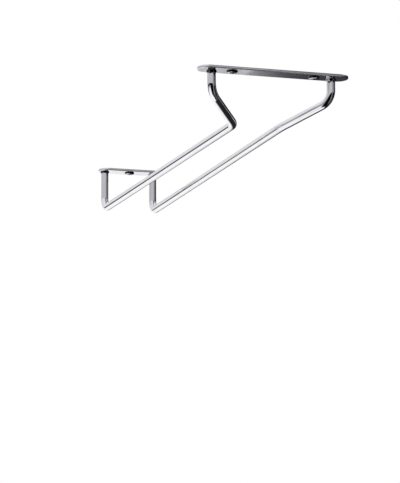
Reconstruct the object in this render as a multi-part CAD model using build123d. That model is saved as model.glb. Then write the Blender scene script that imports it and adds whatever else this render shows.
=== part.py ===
from build123d import *
import os

# Hanging rack that is screwed up under a shelf. Two bent round rods make a pair of rails, and each
# rod butts with both upturned ends on a flat steel strip, a long one in front and a short one behind.
# Millimetres: X to the right, Y from the front to the back, Z up. The origin is the middle of the
# front strip's top face, midway between its screw holes, so the shelf's underside is at Z zero.

# Flat bar that both strips are cut from
strip_width = 15.5
strip_thickness = 2.0
strip_edge_radius = 0.6

# From a rod's axis along the strip to its rounded tip
front_overhang = 11.2
back_overhang = 5.7

# Plain screw holes, two in the front strip and one in the middle of the back strip
front_screw_spacing = 60.0
screw_hole_diameter = 4.5

# Round rod, and the distances between the two rods' axes
rod_diameter = 6.0
front_spacing = 87.6
throat_spacing = 35.0
back_spacing = 41.6

# The rods' run from front to back, measured between axes
throat_depth = 30.65
rail_length = 326.0
back_strip_lead = 2.0

# Depths below the shelf of the rods' axes: at the shoulder, at the throat and at the back bend
shoulder_depth = 17.0
front_rail_depth = 31.0
back_rail_depth = 33.0

# Bend radii on the rod's axis
shoulder_radius = 11.0
throat_radius = 12.0
back_radius = 9.0

# Weld bead round each rod end, and the flat between the front beads and the strip's eased edge
weld_leg = 0.7
weld_height = 1.2
weld_bulge = 0.1
weld_margin = 0.1

# How far a cutting tool runs past the faces that it cuts
overrun = 1.0

rod_radius = rod_diameter / 2
front_rod_y = strip_width / 2 - strip_edge_radius - weld_margin - weld_leg - rod_radius
throat_y = front_rod_y + throat_depth
back_rod_y = throat_y + rail_length
back_strip_y = back_rod_y - back_strip_lead
front_strip_length = front_spacing + 2 * front_overhang
back_strip_length = back_spacing + 2 * back_overhang


def screw_strip(length, middle_y, hole_places):
    """Flat bar with round ends, eased edges and drilled holes, its top face against the shelf."""
    strip = extrude(SlotOverall(length, strip_width), amount=-strip_thickness)
    by_height = strip.faces().sort_by(Axis.Z)
    strip = fillet(by_height[0].edges() + by_height[-1].edges(), radius=strip_edge_radius)
    drill = Cylinder(screw_hole_diameter / 2, strip_thickness + 2 * overrun)
    for x in hole_places:
        strip -= Pos(x, 0, -strip_thickness / 2) * drill
    return Pos(0, middle_y, 0) * strip


def rail(side):
    """One rod: down from the front strip, in and down to the throat, back along the rail and up."""
    front_x = side * front_spacing / 2
    throat_x = side * throat_spacing / 2
    back_x = side * back_spacing / 2
    corners = [
        (front_x, front_rod_y, -strip_thickness),
        (front_x, front_rod_y, -shoulder_depth),
        (throat_x, throat_y, -front_rail_depth),
        (back_x, back_rod_y, -back_rail_depth),
        (back_x, back_rod_y, -strip_thickness),
    ]
    axis_line = FilletPolyline(*corners, radius=[shoulder_radius, throat_radius, back_radius])
    section = Plane(origin=axis_line @ 0, z_dir=axis_line % 0) * Circle(rod_radius)
    return sweep(section, path=axis_line)


def weld_bead(x, y):
    """Ring of weld metal in the corner between a rod and the strip above it."""
    root = (rod_radius, 0)
    toe_on_strip = (rod_radius + weld_leg, 0)
    toe_on_rod = (rod_radius, -weld_height)
    outline = Polyline(toe_on_rod, root, toe_on_strip)
    outline += SagittaArc(toe_on_strip, toe_on_rod, weld_bulge)
    profile = Plane.XZ * make_face(outline)
    return Pos(x, y, -strip_thickness) * revolve(profile, Axis.Z)


half_screw_spacing = front_screw_spacing / 2
parts = {
    "front_strip": screw_strip(front_strip_length, 0, [-half_screw_spacing, half_screw_spacing]),
    "back_strip": screw_strip(back_strip_length, back_strip_y, [0]),
}
for name, side in {"left": -1, "right": 1}.items():
    parts[f"{name}_rail"] = rail(side)
    parts[f"weld_front_{name}"] = weld_bead(side * front_spacing / 2, front_rod_y)
    parts[f"weld_back_{name}"] = weld_bead(side * back_spacing / 2, back_rod_y)

os.makedirs("parts", exist_ok=True)
for name, solid in parts.items():
    export_step(solid, f"parts/{name}.step")
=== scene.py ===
from math import asin, atan2, copysign, cos, hypot, pi, radians, sin, sqrt, tan

import bmesh
import bpy
from mathutils import Matrix, Vector, noise


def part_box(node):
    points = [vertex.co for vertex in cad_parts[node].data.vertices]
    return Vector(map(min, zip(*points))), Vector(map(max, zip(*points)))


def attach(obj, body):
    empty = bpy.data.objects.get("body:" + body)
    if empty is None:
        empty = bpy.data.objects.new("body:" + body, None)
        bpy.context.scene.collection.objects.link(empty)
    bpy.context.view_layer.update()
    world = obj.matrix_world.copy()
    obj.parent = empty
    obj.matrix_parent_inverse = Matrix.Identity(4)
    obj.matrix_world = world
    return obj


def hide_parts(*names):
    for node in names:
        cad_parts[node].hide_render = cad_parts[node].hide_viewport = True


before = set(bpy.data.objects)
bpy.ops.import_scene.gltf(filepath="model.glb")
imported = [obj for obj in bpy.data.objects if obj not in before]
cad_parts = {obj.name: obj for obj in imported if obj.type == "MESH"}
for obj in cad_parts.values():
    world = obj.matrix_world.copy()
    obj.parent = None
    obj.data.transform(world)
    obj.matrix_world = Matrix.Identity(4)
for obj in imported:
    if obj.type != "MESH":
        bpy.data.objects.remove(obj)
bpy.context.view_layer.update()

# Metres: X to the right, Y from the front to the back, Z up, with the shelf's underside at Z zero.
MM = 0.001
Y_AXIS = Vector((0, 1, 0))
Z_AXIS = Vector((0, 0, 1))

# Flat bar, read from the frame
front_low, front_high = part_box("front_strip")
back_low, back_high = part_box("back_strip")
strip_thickness = -front_low.z
strip_edge_radius = 0.6 * MM

# Screw holes
front_screw_spacing = 60 * MM
hole_radius = 2.25 * MM
hole_edge_radius = 0.12 * MM

# Pan head screws: a leaning flank, a domed face and a cross recess that narrows into the head
shank_radius = 1.95 * MM
head_radius = 4 * MM
head_flank = 0.7 * MM
head_flank_lean = 0.15 * MM
head_edge_radius = 0.15 * MM
head_dome = 0.8 * MM
dome_inner_radius = 2.5 * MM
recess_reach = 2.2 * MM
recess_width = 1.2 * MM
recess_depth = 1.3 * MM
recess_taper_share = 0.5

# Round rods, measured between axes
rod_radius = 3 * MM
front_spacing = 87.6 * MM
throat_spacing = 35 * MM
back_spacing = 41.6 * MM
front_rod_y = 3.35 * MM
throat_y = 34 * MM
back_rod_y = 360 * MM
shoulder_depth = 17 * MM
front_rail_depth = 31 * MM
back_rail_depth = 33 * MM
shoulder_radius = 11 * MM
throat_radius = 12 * MM
back_radius = 9 * MM

# Weld beads, with a hair's gap that keeps them off the flat sides of the rod's mesh
weld_leg = 0.7 * MM
weld_height = 1.2 * MM
weld_bulge = 0.1 * MM
hair_gap = 0.01 * MM

# Unevenness of the weld beads, and the layers of the noise that it is read from in front and behind
weld_unevenness_share = 0.15
weld_ripple_scale = 2
front_weld_layer = 3.1
back_weld_layer = 5.7

# Mesh fineness
rod_sides = 80
bend_step = radians(3)
tip_steps = 32
hole_sides = 48
screw_sides = 64
weld_sides = 80
weld_arc_steps = 8
edge_segments = 4

# The fold past which shading breaks at an edge, and the fold past which an edge of a strip is eased
sharp_fold = radians(30)
eased_fold = radians(25)

# How near two heights count as one, and how upright the normal of a level face is
same_height = 1e-7
level_normal = 0.9999


# Meshes

def finished_piece(name, bm, material, node=None):
    """Turns a bmesh into a piece of the rack, which stands for a node of the frame if one is named."""
    bmesh.ops.recalc_face_normals(bm, faces=bm.faces)
    for edge in bm.edges:
        edge.smooth = edge.calc_face_angle(pi) < sharp_fold
    mesh = bpy.data.meshes.new(name)
    bm.to_mesh(mesh)
    bm.free()
    mesh.materials.append(material)
    piece = bpy.data.objects.new(name, mesh)
    bpy.context.scene.collection.objects.link(piece)
    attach(piece, "root")
    if node:
        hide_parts(node)
    return piece


def at_height(edge, z):
    """Whether an edge lies level at a height."""
    return all(abs(vert.co.z - z) < same_height for vert in edge.verts)


def open_edges(bm, z):
    """Edges at one height that have a face on one side at most."""
    return [edge for edge in bm.edges if at_height(edge, z) and len(edge.link_faces) < 2]


def folded_edges(bm, z):
    """Edges at one height where two faces meet in a clear fold."""
    level = [edge for edge in bm.edges if at_height(edge, z) and len(edge.link_faces) == 2]
    return [edge for edge in level if edge.calc_face_angle(0) > eased_fold]


def ease_edges(bm, edges, radius):
    """Rounds edges to a radius."""
    bmesh.ops.bevel(
        bm,
        geom=edges,
        offset=radius,
        offset_type="OFFSET",
        affect="EDGES",
        segments=edge_segments,
        profile=0.5,
        material=-1,
    )


def turned_wall(bm, profile, sides, x=0.0, y=0.0):
    """Wall turned about an upright axis, from points that give its radius and its height."""
    points = [bm.verts.new((x + radius, y, z)) for radius, z in profile]
    lines = [bm.edges.new(pair) for pair in zip(points, points[1:])]
    bmesh.ops.spin(
        bm,
        geom=points + lines,
        cent=(x, y, 0),
        axis=Z_AXIS,
        angle=2 * pi,
        steps=sides,
        use_merge=True,
    )


class RodBender:
    """Grows a round rod ring by ring, in straight runs and tangent bends.

    Each vertex also keeps its place on the rod as if the rod were straight: across, upwards and along.
    """

    def __init__(self, bm, place, heading, upwards):
        self.bm = bm
        self.place = place.copy()
        self.heading = heading.normalized()
        self.upwards = upwards.normalized()
        self.length = 0.0
        self.straight_place = bm.verts.layers.float_vector.new("straight_place")
        turn = self.heading.to_track_quat("Z", "Y").to_matrix().to_4x4()
        made = bmesh.ops.create_circle(
            bm,
            segments=rod_sides,
            radius=rod_radius,
            matrix=Matrix.Translation(place) @ turn,
        )
        self.ring = made["verts"]
        self.first_edges = self.ring_edges()
        self.mark()

    def ring_edges(self):
        """Edges between the ring's vertices, always in the same order."""
        members = set(self.ring)
        found = dict.fromkeys(edge for vert in self.ring for edge in vert.link_edges)
        return [edge for edge in found if members.issuperset(edge.verts)]

    def mark(self):
        across = self.heading.cross(self.upwards)
        for vert in self.ring:
            offset = vert.co - self.place
            vert[self.straight_place] = (offset.dot(across), offset.dot(self.upwards), self.length)

    def grow(self, length, move):
        grown = bmesh.ops.extrude_edge_only(self.bm, edges=self.ring_edges())["geom"]
        self.ring = [item for item in grown if isinstance(item, bmesh.types.BMVert)]
        bmesh.ops.transform(self.bm, matrix=move, verts=self.ring)
        self.place = move @ self.place
        turn = move.to_3x3()
        self.heading = (turn @ self.heading).normalized()
        self.upwards = (turn @ self.upwards).normalized()
        self.length += length
        self.mark()

    def run(self, length):
        self.grow(length, Matrix.Translation(self.heading * length))

    def bend(self, new_heading, radius):
        axis = self.heading.cross(new_heading).normalized()
        angle = self.heading.angle(new_heading)
        centre = self.place + axis.cross(self.heading) * radius
        steps = max(round(angle / bend_step), 1)
        turn = Matrix.Rotation(angle / steps, 4, axis)
        move = Matrix.Translation(centre) @ turn @ Matrix.Translation(-centre)
        for _ in range(steps):
            self.grow(radius * angle / steps, move)

    def close(self):
        """Smooth shading along the rod, and flat faces over its two cut ends."""
        for face in self.bm.faces:
            face.smooth = True
        for edges in (self.first_edges, self.ring_edges()):
            for face in bmesh.ops.contextual_create(self.bm, geom=edges)["faces"]:
                face.smooth = False


def rod_mesh(corners, radii):
    """A rod along straight lines between the corners, with a bend at each inner corner."""
    headings = [(end - start).normalized() for start, end in zip(corners, corners[1:])]
    tangents = [0.0]
    for before, after, radius in zip(headings, headings[1:], radii):
        tangents.append(radius * tan(before.angle(after) / 2))
    tangents.append(0.0)
    bm = bmesh.new()
    bender = RodBender(bm, corners[0], headings[0], Y_AXIS)
    for number, heading in enumerate(headings):
        span = (corners[number + 1] - corners[number]).length
        bender.run(span - tangents[number] - tangents[number + 1])
        if number < len(radii):
            bender.bend(headings[number + 1], radii[number])
    bender.close()
    return bm


def rail_piece(name, side, material):
    """One rod: down from the front strip, in and down to the throat, back along the rail and up."""
    front_x = side * front_spacing / 2
    throat_x = side * throat_spacing / 2
    back_x = side * back_spacing / 2
    corners = [
        Vector((front_x, front_rod_y, -strip_thickness)),
        Vector((front_x, front_rod_y, -shoulder_depth)),
        Vector((throat_x, throat_y, -front_rail_depth)),
        Vector((back_x, back_rod_y, -back_rail_depth)),
        Vector((back_x, back_rod_y, -strip_thickness)),
    ]
    bm = rod_mesh(corners, [shoulder_radius, throat_radius, back_radius])
    return finished_piece(f"{name}_rod", bm, material, f"{name}_rail")


def half_circle_end(bm, start, centre):
    """Edges of a strip's round end, from the start point half a turn about the centre."""
    first = bm.verts.new(start)
    made = bmesh.ops.spin(bm, geom=[first], cent=centre, axis=Z_AXIS, angle=pi, steps=tip_steps)
    last = next(item for item in made["geom_last"] if isinstance(item, bmesh.types.BMVert))
    return first, last


def strip_piece(name, low, high, hole_places, material):
    """Flat bar with round ends, eased edges and drilled holes."""
    bm = bmesh.new()
    radius = (high.y - low.y) / 2
    middle_y = (high.y + low.y) / 2
    straight = (high.x - low.x) / 2 - radius
    right_first, right_last = half_circle_end(
        bm, (straight, low.y, -strip_thickness), (straight, middle_y, 0)
    )
    left_first, left_last = half_circle_end(
        bm, (-straight, high.y, -strip_thickness), (-straight, middle_y, 0)
    )
    bm.edges.new((right_last, left_first))
    bm.edges.new((left_last, right_first))
    side = bmesh.ops.extrude_edge_only(bm, edges=bm.edges[:])["geom"]
    top = [item for item in side if isinstance(item, bmesh.types.BMVert)]
    bmesh.ops.translate(bm, verts=top, vec=Z_AXIS * strip_thickness)
    for x in hole_places:
        turned_wall(bm, [(hole_radius, 0), (hole_radius, -strip_thickness)], hole_sides, x, middle_y)
    for z, normal in ((-strip_thickness, -Z_AXIS), (0, Z_AXIS)):
        bmesh.ops.triangle_fill(bm, use_beauty=True, edges=open_edges(bm, z), normal=normal)
    bmesh.ops.recalc_face_normals(bm, faces=bm.faces)

    def on_rim(edge):
        middle = (edge.verts[0].co + edge.verts[1].co) / 2
        reach = hole_radius + hole_edge_radius
        return any(hypot(middle.x - x, middle.y - middle_y) < reach for x in hole_places)

    folded = folded_edges(bm, -strip_thickness) + folded_edges(bm, 0)
    rims = [edge for edge in folded if on_rim(edge)]
    outline = [edge for edge in folded if not on_rim(edge)]
    ease_edges(bm, outline, strip_edge_radius)
    ease_edges(bm, [edge for edge in rims if edge.is_valid], hole_edge_radius)
    for face in bm.faces:
        face.smooth = abs(face.normal.z) < level_normal
    return finished_piece(f"{name}_bar", bm, material, name)


def weld_piece(name, x, y, layer, material):
    """Slightly uneven ring of weld metal round the end of a rod."""
    bm = bmesh.new()
    top = -strip_thickness
    inner_radius = rod_radius + hair_gap
    toe_on_strip = Vector((rod_radius + weld_leg, 0, top))
    toe_on_rod = Vector((inner_radius, 0, top - weld_height))
    chord = toe_on_rod - toe_on_strip
    arc_radius = (chord.length_squared / 4 + weld_bulge**2) / (2 * weld_bulge)
    arc_angle = 2 * asin(chord.length / 2 / arc_radius)
    inwards = Vector((chord.z, 0, -chord.x)).normalized()
    centre = (toe_on_strip + toe_on_rod) / 2 + inwards * (arc_radius - weld_bulge)
    start = bm.verts.new(toe_on_strip)
    made = bmesh.ops.spin(
        bm, geom=[start], cent=centre, axis=Y_AXIS, angle=arc_angle, steps=weld_arc_steps
    )
    last = next(item for item in made["geom_last"] if isinstance(item, bmesh.types.BMVert))
    root = bm.verts.new((inner_radius, 0, top))
    bm.edges.new((last, root))
    bm.edges.new((root, start))
    bmesh.ops.spin(
        bm,
        geom=bm.verts[:] + bm.edges[:],
        cent=(0, 0, 0),
        axis=Z_AXIS,
        angle=2 * pi,
        steps=weld_sides,
        use_merge=True,
    )

    def on_outer_face(vert):
        margin = hair_gap / 10
        beyond_rod = hypot(vert.co.x, vert.co.y) > inner_radius + margin
        return beyond_rod and vert.co.z < top - margin

    for face in bm.faces:
        face.smooth = any(on_outer_face(vert) for vert in face.verts)
    for vert in bm.verts:
        angle = atan2(vert.co.y, vert.co.x)
        around = weld_ripple_scale * Vector((cos(angle), sin(angle)))
        ripple = noise.noise(Vector((around.x, around.y, layer)))
        growth = 1 + weld_unevenness_share * ripple
        outwards = hypot(vert.co.x, vert.co.y) - inner_radius
        reach = inner_radius + outwards * growth
        vert.co = (reach * cos(angle), reach * sin(angle), top + (vert.co.z - top) * growth)
    bmesh.ops.translate(bm, verts=bm.verts, vec=(x, y, 0))
    return finished_piece(f"{name}_bead", bm, material, name)


def dome_drop(distance):
    """How far a screw's domed face hangs below its edge, at a distance from the screw's axis."""
    edge = head_radius - head_flank_lean
    dome_radius = (edge**2 + head_dome**2) / (2 * head_dome)
    return sqrt(dome_radius**2 - distance**2) - (dome_radius - head_dome)


def cross_recess(bm, z):
    """Pit in the shape of a cross, open at the given height and narrower above. Returns its faces."""
    grid = bmesh.ops.create_grid(
        bm, x_segments=3, y_segments=3, size=recess_reach, matrix=Matrix.Translation((0, 0, z))
    )["verts"]
    for vert in grid:
        for axis in (0, 1):
            if abs(vert.co[axis]) < recess_reach / 2:
                vert.co[axis] = copysign(recess_width / 2, vert.co[axis])
    cells = dict.fromkeys(face for vert in grid for face in vert.link_faces)

    def in_corner(face):
        return all(abs(place) > recess_width / 2 for place in face.calc_center_median().xy)

    corners = [face for face in cells if in_corner(face)]
    cross = [face for face in cells if not in_corner(face)]
    bmesh.ops.delete(bm, geom=corners, context="FACES")
    mouth = bmesh.ops.dissolve_faces(bm, faces=cross)["region"]
    made = bmesh.ops.extrude_face_region(bm, geom=mouth)["geom"]
    bottom = [item for item in made if isinstance(item, bmesh.types.BMVert)]
    bmesh.ops.scale(bm, verts=bottom, vec=(recess_taper_share, recess_taper_share, 1))
    bmesh.ops.translate(bm, verts=bottom, vec=Z_AXIS * recess_depth)
    bmesh.ops.delete(bm, geom=mouth, context="FACES_ONLY")
    return {face for vert in bottom for face in vert.link_faces}


def screw_piece(name, x, y, turn, material):
    """Pan head screw, with its shank in the strip's hole and its head against the strip's underside."""
    bm = bmesh.new()
    edge_z = -strip_thickness - head_flank
    edge_radius = head_radius - head_flank_lean
    field_z = edge_z - dome_drop(dome_inner_radius)
    pit = cross_recess(bm, field_z)
    turned_wall(
        bm,
        [
            (shank_radius, 0),
            (shank_radius, -strip_thickness),
            (head_radius, -strip_thickness),
            (edge_radius, edge_z),
            (dome_inner_radius, field_z),
        ],
        screw_sides,
    )
    bmesh.ops.contextual_create(bm, geom=open_edges(bm, 0))
    field = open_edges(bm, field_z)
    bmesh.ops.triangle_fill(bm, use_beauty=True, edges=field, normal=-Z_AXIS)
    for vert in {vert for edge in field for vert in edge.verts}:
        vert.co.z = edge_z - dome_drop(vert.co.xy.length)
    ease_edges(bm, [edge for edge in bm.edges if at_height(edge, edge_z)], head_edge_radius)
    bmesh.ops.recalc_face_normals(bm, faces=bm.faces)
    for face in bm.faces:
        face.smooth = face not in pit and abs(face.normal.z) < level_normal
    bmesh.ops.rotate(bm, verts=bm.verts, cent=(0, 0, 0), matrix=Matrix.Rotation(turn, 3, "Z"))
    bmesh.ops.translate(bm, verts=bm.verts, vec=(x, y, 0))
    return finished_piece(name, bm, material)


# Materials

class Graph:
    """Short way to add and join the nodes of one material or of the world."""

    def __init__(self, tree):
        self.tree = tree

    def add(self, kind, inputs=None, **settings):
        node = self.tree.nodes.new(kind)
        for key, value in settings.items():
            setattr(node, key, value)
        for key, value in (inputs or {}).items():
            if isinstance(value, bpy.types.NodeSocket):
                self.tree.links.new(value, node.inputs[key])
            else:
                node.inputs[key].default_value = value
        return node

    def math(self, operation, first, second=0.0, third=0.0):
        inputs = {0: first, 1: second, 2: third}
        return self.add("ShaderNodeMath", inputs, operation=operation).outputs[0]

    def ramp(self, value, low, high, to_low=0.0, to_high=1.0):
        inputs = {0: value, 1: low, 2: high, 3: to_low, 4: to_high}
        return self.add("ShaderNodeMapRange", inputs, interpolation_type="SMOOTHSTEP").outputs[0]

    def mix(self, share, first, second):
        inputs = {"Factor": share, "A": first, "B": second}
        return self.add("ShaderNodeMix", inputs).outputs["Result"]

    def mix_colour(self, share, first, second):
        inputs = {"Factor": share, "A": first, "B": second}
        return self.add("ShaderNodeMix", inputs, data_type="RGBA").outputs["Result"]

    def noise(self, vector, scale, detail=2.0, roughness=0.5):
        inputs = {"Vector": vector, "Scale": scale, "Detail": detail, "Roughness": roughness}
        return self.add("ShaderNodeTexNoise", inputs).outputs["Fac"]

    def stretched(self, vector, scale):
        return self.add("ShaderNodeMapping", {"Vector": vector, "Scale": scale}).outputs[0]


# Patterns of the chrome plate, counted per metre
haze_scale = 60.0
smudge_scale = 90.0
wave_scale = 110.0
scratch_scale = (5000, 5000, 25)

# Roughness that each flaw adds where it is strongest
smudge_roughness = 0.05
hairline_roughness = 0.05
wear_roughness = 0.12

# Depth of the waves and the hairlines, and how much of the hairlines' slope shows
wave_depth = 0.015 * MM
hairline_depth = 0.008 * MM
hairline_strength = 0.35

# Near-black of the painted shade and grime in the corner between a screw's head and the strip
shade_and_grime_colour = (0.02, 0.02, 0.02, 1)


def chrome(name, bright, dull, roughness, place, drawn_scale, wear=None, shade_and_grime=None):
    """Bright chrome plate: haze in the colour, smudges and hairlines in the gloss, faint waves."""
    material = bpy.data.materials.new(name)
    material.use_nodes = True
    tree = material.node_tree
    shader = tree.nodes["Principled BSDF"]
    graph = Graph(tree)
    surface = place(graph)

    haze = graph.ramp(graph.noise(surface, haze_scale, detail=4.0), 0.35, 0.7)
    colour = graph.mix_colour(haze, (*bright, 1), (*dull, 1))
    # Where a mask is given, it mixes painted shade and grime into the colour
    if shade_and_grime:
        colour = graph.mix_colour(shade_and_grime(graph, surface), colour, shade_and_grime_colour)
    tree.links.new(colour, shader.inputs["Base Color"])

    hairlines = graph.noise(graph.stretched(surface, drawn_scale), 1.0, 3.0, 0.6)
    smudges = graph.ramp(graph.noise(surface, smudge_scale, 5.0, 0.6), 0.5, 0.75)
    gloss = graph.math("MULTIPLY_ADD", smudges, smudge_roughness, roughness)
    hairlines_in_gloss = graph.ramp(hairlines, 0.55, 0.8)
    gloss = graph.math("MULTIPLY_ADD", hairlines_in_gloss, hairline_roughness, gloss)
    if wear:
        gloss = graph.math("MULTIPLY_ADD", wear(graph, surface), wear_roughness, gloss)
    tree.links.new(gloss, shader.inputs["Roughness"])

    waves = graph.noise(surface, wave_scale, detail=1.0)
    wave_bump = graph.add(
        "ShaderNodeBump", {"Height": waves, "Strength": 1.0, "Distance": wave_depth}
    )
    hairline_bump = graph.add(
        "ShaderNodeBump",
        {
            "Height": hairlines,
            "Strength": hairline_strength,
            "Distance": hairline_depth,
            "Normal": wave_bump.outputs[0],
        },
    )
    tree.links.new(hairline_bump.outputs[0], shader.inputs["Normal"])
    shader.inputs["Metallic"].default_value = 1.0
    return material


def slide_wear(graph, surface):
    """Fine scratches along the upper side of a rail, where it carries its load, as a share."""
    parts = graph.add("ShaderNodeSeparateXYZ", {0: surface}).outputs
    inwards = (front_spacing - throat_spacing) / 2
    backwards = throat_y - front_rod_y
    downwards = front_rail_depth - shoulder_depth
    rail_start = shoulder_depth - strip_thickness + hypot(inwards, backwards, downwards)
    rail_end = rail_start + back_rod_y - throat_y
    upper = graph.ramp(parts["Y"], 0.3 * rod_radius, 0.9 * rod_radius)
    after_start = graph.ramp(parts["Z"], rail_start - throat_radius, rail_start + throat_radius)
    before_end = graph.ramp(parts["Z"], rail_end - 2 * back_radius, rail_end, 1.0, 0.0)
    scratches = graph.noise(graph.stretched(surface, scratch_scale), 1.0, 3.0, 0.7)
    on_rail = graph.math("MULTIPLY", after_start, before_end)
    on_top = graph.math("MULTIPLY", upper, on_rail)
    return graph.math("MULTIPLY", on_top, graph.ramp(scratches, 0.5, 0.7))


def under_head(graph, surface):
    """Share of a screw's plate that lies in the corner between its head and the strip, where the colour
    carries painted shade and grime.
    """
    height = graph.add("ShaderNodeSeparateXYZ", {0: surface}).outputs["Z"]
    return graph.ramp(height, -strip_thickness - 1.5 * head_flank, -strip_thickness - head_flank)


def object_place(graph):
    return graph.add("ShaderNodeTexCoord").outputs["Object"]


def straight_place(graph):
    return graph.add("ShaderNodeAttribute", attribute_name="straight_place").outputs["Vector"]


# Stage

# What polished metal mirrors of the studio: light and dark zones, each laid over those before it.
# Headings are degrees clockwise from the back of the rack, heights are degrees above the horizon.
# A row gives a zone's light, then its left, right, bottom and top border, each as a pair of where it
# begins to fade and where it ends, and last its slant, which is how many degrees of heading the left
# and right borders move for each degree of height.
studio_zones = [
    # Upper half of the room
    (0.78, (-2, -1), (361, 362), (-1, 1), (91, 92), 0),
    # Grey walls low above the horizon, from the right round the front to the left
    (0.52, (100, 140), (328, 345), (-1, 1), (12, 26), 0),
    # Grey wall on the left below the horizon, with a darker band along the horizon
    (0.42, (215, 235), (325, 345), (-30, -13), (-1, 1), 0),
    (0.2, (215, 235), (325, 335), (-6, -3), (-1, 1), 0),
    # Black cards above the horizon, on the right and at the back right
    (0.06, (40, 56), (103, 172), (-2, 0), (20, 36), 0),
    (0.1, (8, 16), (60, 80), (-4, -1), (18, 30), 0),
    # Grey floor at the back right
    (0.35, (0, 18), (60, 80), (-60, -50), (-24, -12), 0),
    # Dark floor from the back right round the front, whose left border parts the underside of the
    # front strip in two tones, and a darker part that reaches further down
    (0.05, (16.8, 20.4), (228, 244), (-71, -63), (-1, 1.5), 0),
    (0.03, (70, 85), (195, 215), (-82, -74), (-62, -50), 0),
    # Grey and dark zones in front. Those that end near 160 degrees part the front strip's edge in two
    (0.1, (148, 156), (166, 174), (-70, -60), (-2, 4), 0),
    (0.27, (140, 150), (180, 200), (12, 20), (70, 85), 0),
    (0.2, (140, 148), (159.6, 162), (-1, 2), (16, 26), -0.1),
    (0.07, (130, 140), (159.6, 163), (16, 26), (70, 85), -0.1),
    # The darkest parts of the dark floor, and a less dark patch on its right
    (0.018, (23, 30), (226, 240), (-64, -57), (-4, 0), 0),
    (0.002, (86, 98), (220, 236), (-76, -66), (-6, -2), 0),
    (0.07, (84, 96), (140, 160), (-66, -50), (-28, -14), 0),
    # Grey zone in front below the horizon
    (0.34, (146, 152), (159.5, 162), (-60, -45), (-2, 2), 0.1),
    # Black cards along the horizon, at the back right and at the back left
    (0.01, (11, 16), (60, 80), (-9, -7), (16, 28), 0),
    (0.03, (318, 326), (341, 346), (-11, -8), (1, 3), 0),
]

# The studio's light on surfaces that aren't mirrors, and the cool tint of its dark zones
plain_light = 0.7
dark_tint = (1.0, 0.985, 1.1, 1)
white = (1, 1, 1, 1)

# Floor well below the rack, which the metal doesn't mirror
floor_middle = Vector((0, 0.18, -0.55))
floor_half_side = 3.0
floor_colour = (0.9, 0.9, 0.9, 1)

# Black card to the left of the left rod's front upright
card_place = Vector((-90, -12, -16)) * MM
card_width = 96 * MM
card_height = 10 * MM

# Soft lamp at the front left, aimed at the middle of the rack
lamp_place = Vector((-1.2, -0.6, 1.6))
lamp_target = Vector((0, 0.18, 0))
lamp_size = 1.2
lamp_power = 30


def studio_world():
    """Studio that is plain white behind the rack and shows its zones only in polished metal."""
    world = bpy.data.worlds.new("studio")
    bpy.context.scene.world = world
    world.use_nodes = True
    tree = world.node_tree
    tree.nodes.clear()
    graph = Graph(tree)
    direction = graph.add("ShaderNodeTexCoord").outputs["Generated"]
    parts = graph.add("ShaderNodeSeparateXYZ", {0: direction}).outputs
    ahead = graph.math("MULTIPLY", parts["Y"], -1.0)
    aside = graph.math("MULTIPLY", parts["X"], -1.0)
    heading = graph.math("DEGREES", graph.math("ARCTAN2", aside, ahead))
    heading = graph.math("ADD", heading, 180.0)
    height = graph.math("DEGREES", graph.math("ARCSINE", parts["Z"]))

    light = 1.0
    for level, left, right, bottom, top, slant in studio_zones:
        turned = graph.math("MULTIPLY_ADD", height, -slant, heading)
        across = graph.math(
            "MULTIPLY", graph.ramp(turned, *left), graph.ramp(turned, *right, 1.0, 0.0)
        )
        up = graph.math("MULTIPLY", graph.ramp(height, *bottom), graph.ramp(height, *top, 1.0, 0.0))
        light = graph.mix(graph.math("MULTIPLY", across, up), light, level)

    rays = graph.add("ShaderNodeLightPath").outputs
    seen_plainly = graph.math("MAXIMUM", rays["Is Camera Ray"], rays["Is Transmission Ray"])
    around = graph.mix(rays["Is Glossy Ray"], plain_light, light)
    strength = graph.mix(seen_plainly, around, 1.0)
    tint = graph.mix_colour(strength, dark_tint, white)
    background = graph.add("ShaderNodeBackground", {"Color": tint, "Strength": strength})
    output = graph.add("ShaderNodeOutputWorld")
    tree.links.new(background.outputs[0], output.inputs["Surface"])


def stage_sheet(name, bm):
    """Turns a bmesh into an object of the stage, and gives it a material without nodes."""
    mesh = bpy.data.meshes.new(name)
    bm.to_mesh(mesh)
    bm.free()
    sheet = bpy.data.objects.new(name, mesh)
    bpy.context.scene.collection.objects.link(sheet)
    material = bpy.data.materials.new(name)
    material.use_nodes = True
    material.node_tree.nodes.clear()
    mesh.materials.append(material)
    return sheet, Graph(material.node_tree)


def pale_floor():
    """Plain pale floor under the rack, which a view from beneath passes through."""
    bm = bmesh.new()
    bmesh.ops.create_grid(
        bm,
        x_segments=1,
        y_segments=1,
        size=floor_half_side,
        matrix=Matrix.Translation(floor_middle),
    )
    floor, graph = stage_sheet("floor", bm)
    floor.visible_glossy = False
    matt = graph.add("ShaderNodeBsdfDiffuse", {"Color": floor_colour})
    clear = graph.add("ShaderNodeBsdfTransparent")
    from_beneath = graph.add("ShaderNodeNewGeometry").outputs["Backfacing"]
    mix = graph.add(
        "ShaderNodeMixShader", {0: from_beneath, 1: matt.outputs[0], 2: clear.outputs[0]}
    )
    graph.add("ShaderNodeOutputMaterial", {"Surface": mix.outputs[0]})


def black_card(name, place, width, height):
    """Upright black card that faces along X and shows only as a reflection."""
    bm = bmesh.new()
    bmesh.ops.create_grid(bm, x_segments=1, y_segments=1, size=0.5)
    bmesh.ops.scale(bm, verts=bm.verts, vec=(height, width, 1))
    bmesh.ops.rotate(bm, verts=bm.verts, cent=(0, 0, 0), matrix=Matrix.Rotation(pi / 2, 3, "Y"))
    bmesh.ops.translate(bm, verts=bm.verts, vec=place)
    card, graph = stage_sheet(name, bm)
    card.visible_camera = False
    card.visible_diffuse = False
    card.visible_transmission = False
    card.visible_shadow = False
    black = graph.add("ShaderNodeBsdfDiffuse", {"Color": (0, 0, 0, 1)})
    graph.add("ShaderNodeOutputMaterial", {"Surface": black.outputs[0]})


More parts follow.
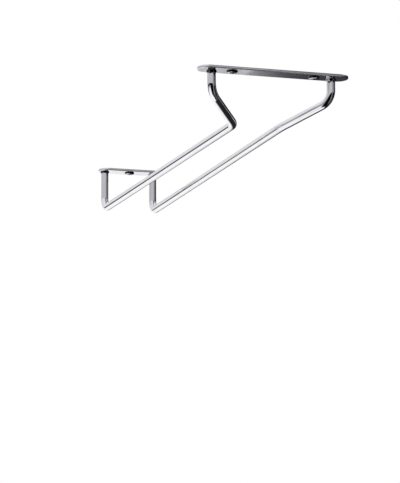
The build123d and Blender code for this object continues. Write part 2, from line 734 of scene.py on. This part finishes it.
def softbox(name, place, target, size, power):
    """Square soft lamp aimed at a point. The metal doesn't mirror the lamp."""
    lamp = bpy.data.lights.new(name, "AREA")
    lamp.size = size
    lamp.energy = power
    holder = bpy.data.objects.new(name, lamp)
    holder.location = place
    holder.rotation_euler = (target - place).to_track_quat("-Z", "Y").to_euler()
    holder.visible_glossy = False
    bpy.context.scene.collection.objects.link(holder)


def camera():
    """Camera at the photograph's place, heading and tilt, worked out in the rack's own frame."""
    picture_height = 483
    focal_pixels = 2314.4
    sensor = 36
    heading, tilt, roll = 0.3117, 0.17, 0.0045
    place = Vector((-525.6, -1464.7, -385.7)) * MM
    forward = Vector((sin(heading) * cos(tilt), cos(heading) * cos(tilt), sin(tilt)))
    level_right = Vector((cos(heading), -sin(heading), 0))
    level_down = forward.cross(level_right)
    right = cos(roll) * level_right + sin(roll) * level_down
    down = cos(roll) * level_down - sin(roll) * level_right
    lens = bpy.data.cameras.new("camera")
    lens.sensor_width = sensor
    lens.lens = sensor * focal_pixels / picture_height
    lens.clip_start = 50 * MM
    holder = bpy.data.objects.new("camera", lens)
    turn = Matrix((right, -down, -forward)).transposed()
    holder.matrix_world = Matrix.Translation(place) @ turn.to_4x4()
    bpy.context.scene.collection.objects.link(holder)
    bpy.context.scene.camera = holder


rod_chrome = chrome(
    "rod_chrome",
    bright=(0.94, 0.937, 0.955),
    dull=(0.87, 0.867, 0.885),
    roughness=0.03,
    place=straight_place,
    drawn_scale=(2500, 2500, 60),
    wear=slide_wear,
)
strip_chrome = chrome(
    "strip_chrome",
    bright=(0.86, 0.856, 0.876),
    dull=(0.78, 0.776, 0.797),
    roughness=0.1,
    place=object_place,
    drawn_scale=(80, 2500, 2500),
)
# Weld chrome, far darker than the rods: partly duller plating over the weld, partly painted shade on
# the concave beads
weld_chrome = chrome(
    "weld_chrome",
    bright=(0.34, 0.339, 0.347),
    dull=(0.2, 0.199, 0.206),
    roughness=0.12,
    place=object_place,
    drawn_scale=(900, 900, 900),
)
# Near-black copy of the weld chrome for the left side's beads: painted shade, where those joints sit
# darker in their surroundings
shaded_weld_chrome = chrome(
    "shaded_weld_chrome",
    bright=(0.08, 0.08, 0.082),
    dull=(0.03, 0.03, 0.031),
    roughness=0.15,
    place=object_place,
    drawn_scale=(900, 900, 900),
)
# The screws' plate is darker in the corner under the head: painted shade and grime
screw_plate = chrome(
    "screw_plate",
    bright=(0.86, 0.856, 0.87),
    dull=(0.74, 0.737, 0.75),
    roughness=0.06,
    place=object_place,
    drawn_scale=(600, 600, 600),
    shade_and_grime=under_head,
)

screw_x = front_screw_spacing / 2
back_middle_y = (back_low.y + back_high.y) / 2
strip_piece("front_strip", front_low, front_high, (-screw_x, screw_x), strip_chrome)
strip_piece("back_strip", back_low, back_high, (0,), strip_chrome)
screw_piece("front_screw_left", -screw_x, 0, radians(20), screw_plate)
screw_piece("front_screw_right", screw_x, 0, radians(65), screw_plate)
screw_piece("back_screw", 0, back_middle_y, radians(40), screw_plate)
# The left side's beads take the near-black copy of the weld chrome, which paints shade onto them
for side, name, bead_chrome_and_shade in ((-1, "left", shaded_weld_chrome), (1, "right", weld_chrome)):
    front_x = side * front_spacing / 2
    back_x = side * back_spacing / 2
    rail_piece(name, side, rod_chrome)
    weld_piece(f"weld_front_{name}", front_x, front_rod_y, side * front_weld_layer, bead_chrome_and_shade)
    weld_piece(f"weld_back_{name}", back_x, back_rod_y, side * back_weld_layer, bead_chrome_and_shade)

studio_world()
pale_floor()
black_card("card_by_left_rod", card_place, card_width, card_height)
softbox("key", lamp_place, lamp_target, lamp_size, lamp_power)
camera()
bpy.context.scene.view_settings.view_transform = "Standard"
